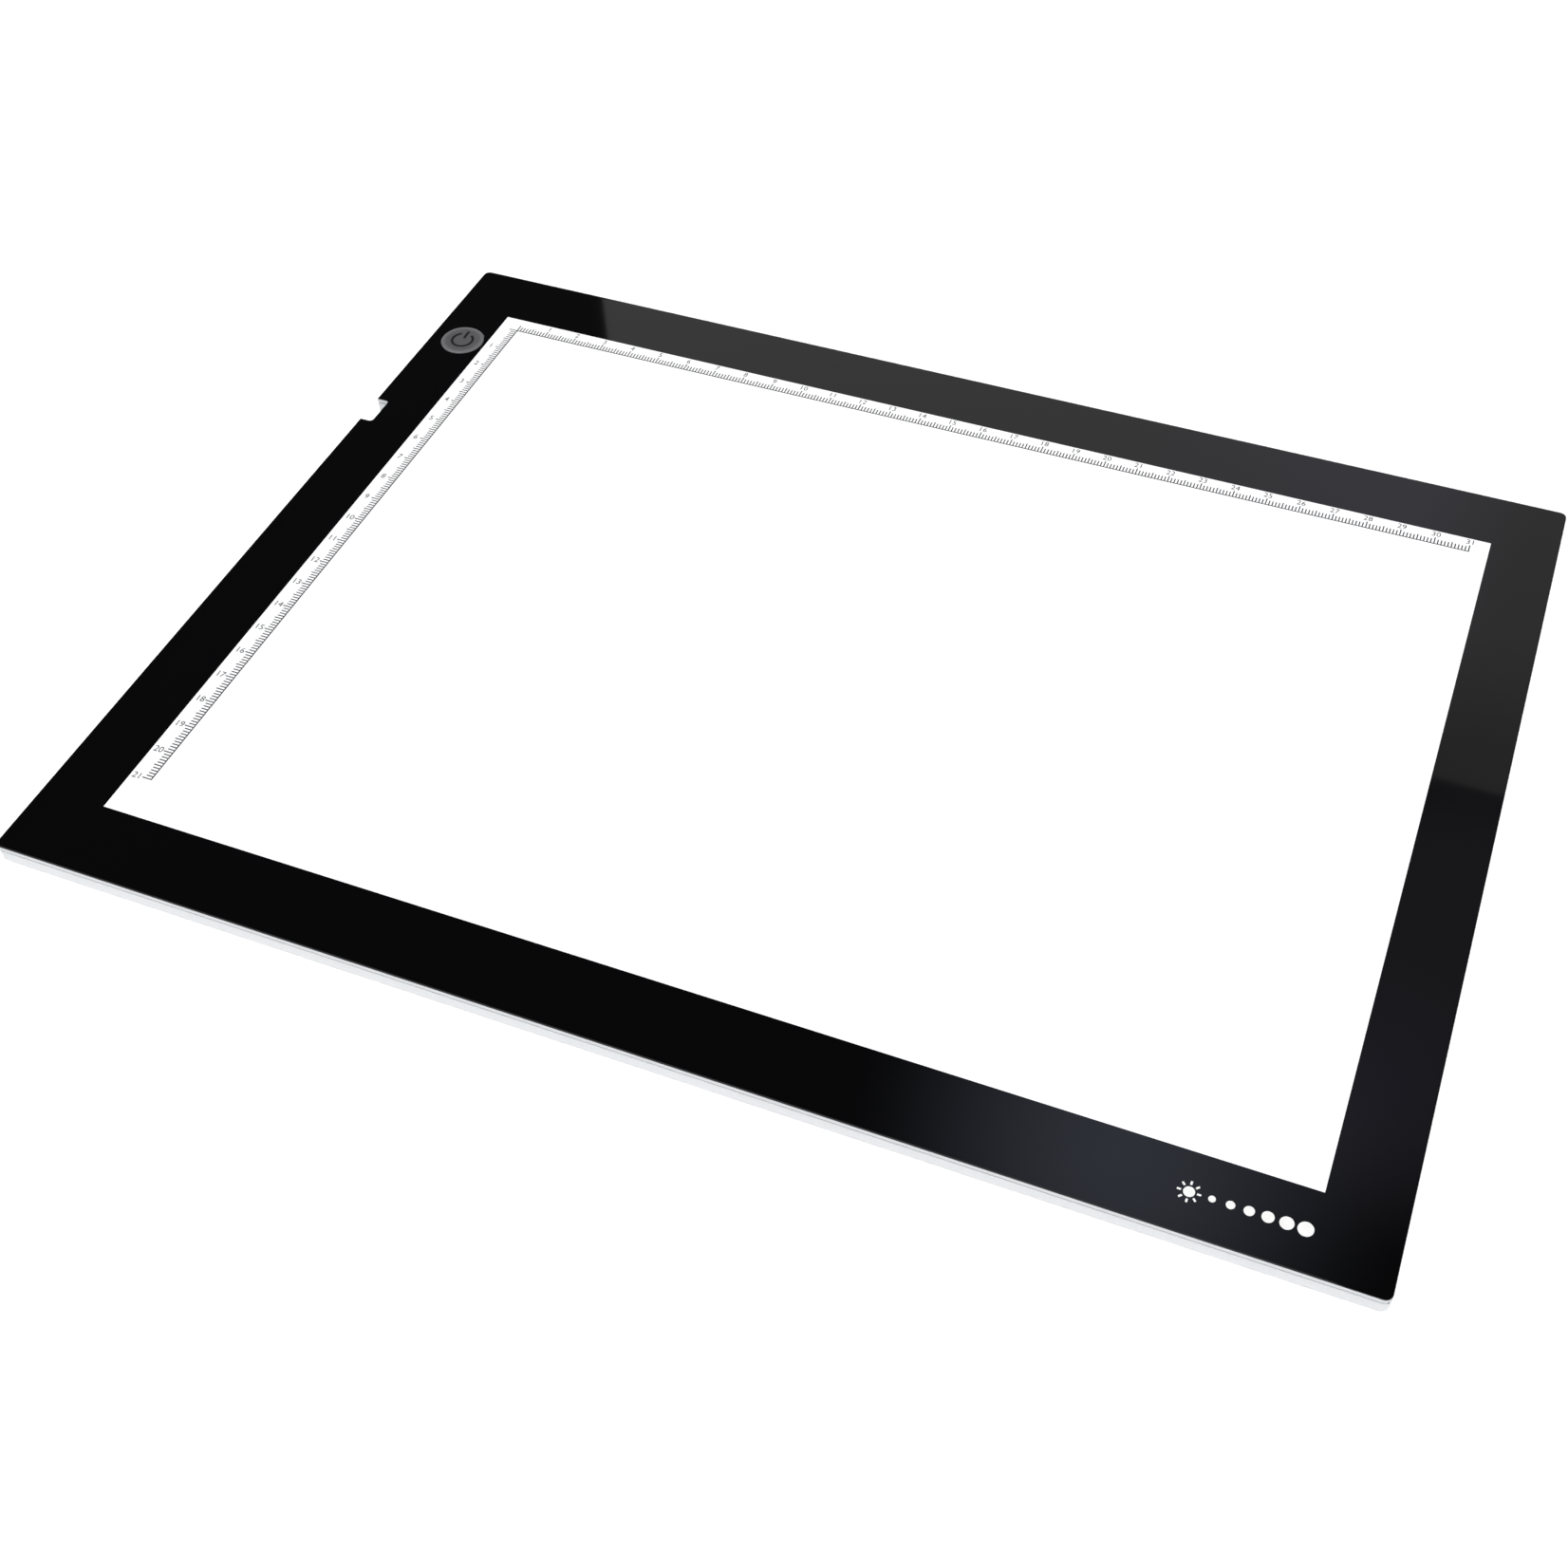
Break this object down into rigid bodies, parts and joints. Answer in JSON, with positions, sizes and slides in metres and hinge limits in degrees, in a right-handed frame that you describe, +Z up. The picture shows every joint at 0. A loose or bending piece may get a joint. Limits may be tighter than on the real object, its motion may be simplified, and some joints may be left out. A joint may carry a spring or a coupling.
{
  "type": "light box",
  "caption": "Slim flat LED light box: a lit white window in a glossy black border, with a power key and a cable notch in its left edge.",
  "frame": {"origin": "on the supporting surface, under the middle of the box, at the undersides of its feet", "axes": "+X along the long side, away from the power key's side; +Y to the back, where the key's end is; +Z up"},
  "size_m": [0.36, 0.27, 0.0066],
  "materials": {
    "clear_acrylic": "polished clear acrylic",
    "guide_acrylic": "clear acrylic with a printed dot pattern",
    "black_ink": "gloss black print",
    "white_film": "lit diffusing film",
    "silver_film": "reflective film",
    "black_tape": "black double-sided tape",
    "cover_grey": "fine moulded texture",
    "key_grey": "satin",
    "board_green": "green solder mask",
    "flex_white": "white flexible circuit with LEDs",
    "package_black": "moulded epoxy",
    "ceramic_tan": "ceramic capacitor with tinned ends",
    "plated_steel": "nickel plated",
    "aluminium": "rolled strip",
    "connector_white": "natural nylon",
    "rubber": "matt rubber",
    "red_lead": "red insulated wire",
    "black_lead": "black insulated wire"
  },
  "bodies": {
    "housing": {"top_panel": "clear_acrylic", "border_mask": "black_ink", "border_tape_front": "black_tape", "border_tape_back": "black_tape", "border_tape_left": "black_tape", "border_tape_right": "black_tape", "diffuser_sheet": "white_film", "light_guide": "guide_acrylic", "reflector_sheet": "silver_film", "led_strip_front": "flex_white", "led_strip_back": "flex_white", "heat_spreader_front": "aluminium", "heat_spreader_back": "aluminium", "control_board": "board_green", "board_screw_1": "plated_steel", "board_screw_2": "plated_steel", "board_screw_3": "plated_steel", "usb_socket_shell": "plated_steel", "usb_socket_tongue": "package_black", "input_capacitor": "ceramic_tan", "sense_resistor": "package_black", "controller_chip": "package_black", "power_inductor": "package_black", "rectifier_diode": "package_black", "led_driver_chip": "package_black", "output_capacitor": "ceramic_tan", "led_connector_front": "connector_white", "led_connector_back": "connector_white", "switch_body": "plated_steel", "lead_front_positive": "red_lead", "lead_front_negative": "black_lead", "lead_back_positive": "red_lead", "lead_back_negative": "black_lead", "back_cover": "cover_grey", "foot_1": "rubber", "foot_2": "rubber", "foot_3": "rubber", "foot_4": "rubber", "foot_5": "rubber", "foot_6": "rubber"},
    "power_button": {"power_key": "key_grey", "switch_plunger": "package_black"}
  },
  "joints": [
    {"name": "power_key_press", "type": "slide", "parent": "housing", "child": "power_button", "axis": [0, 0, -1], "range_m": [0, 0.0004], "stiffness_N_per_m": 1500}
  ]
}
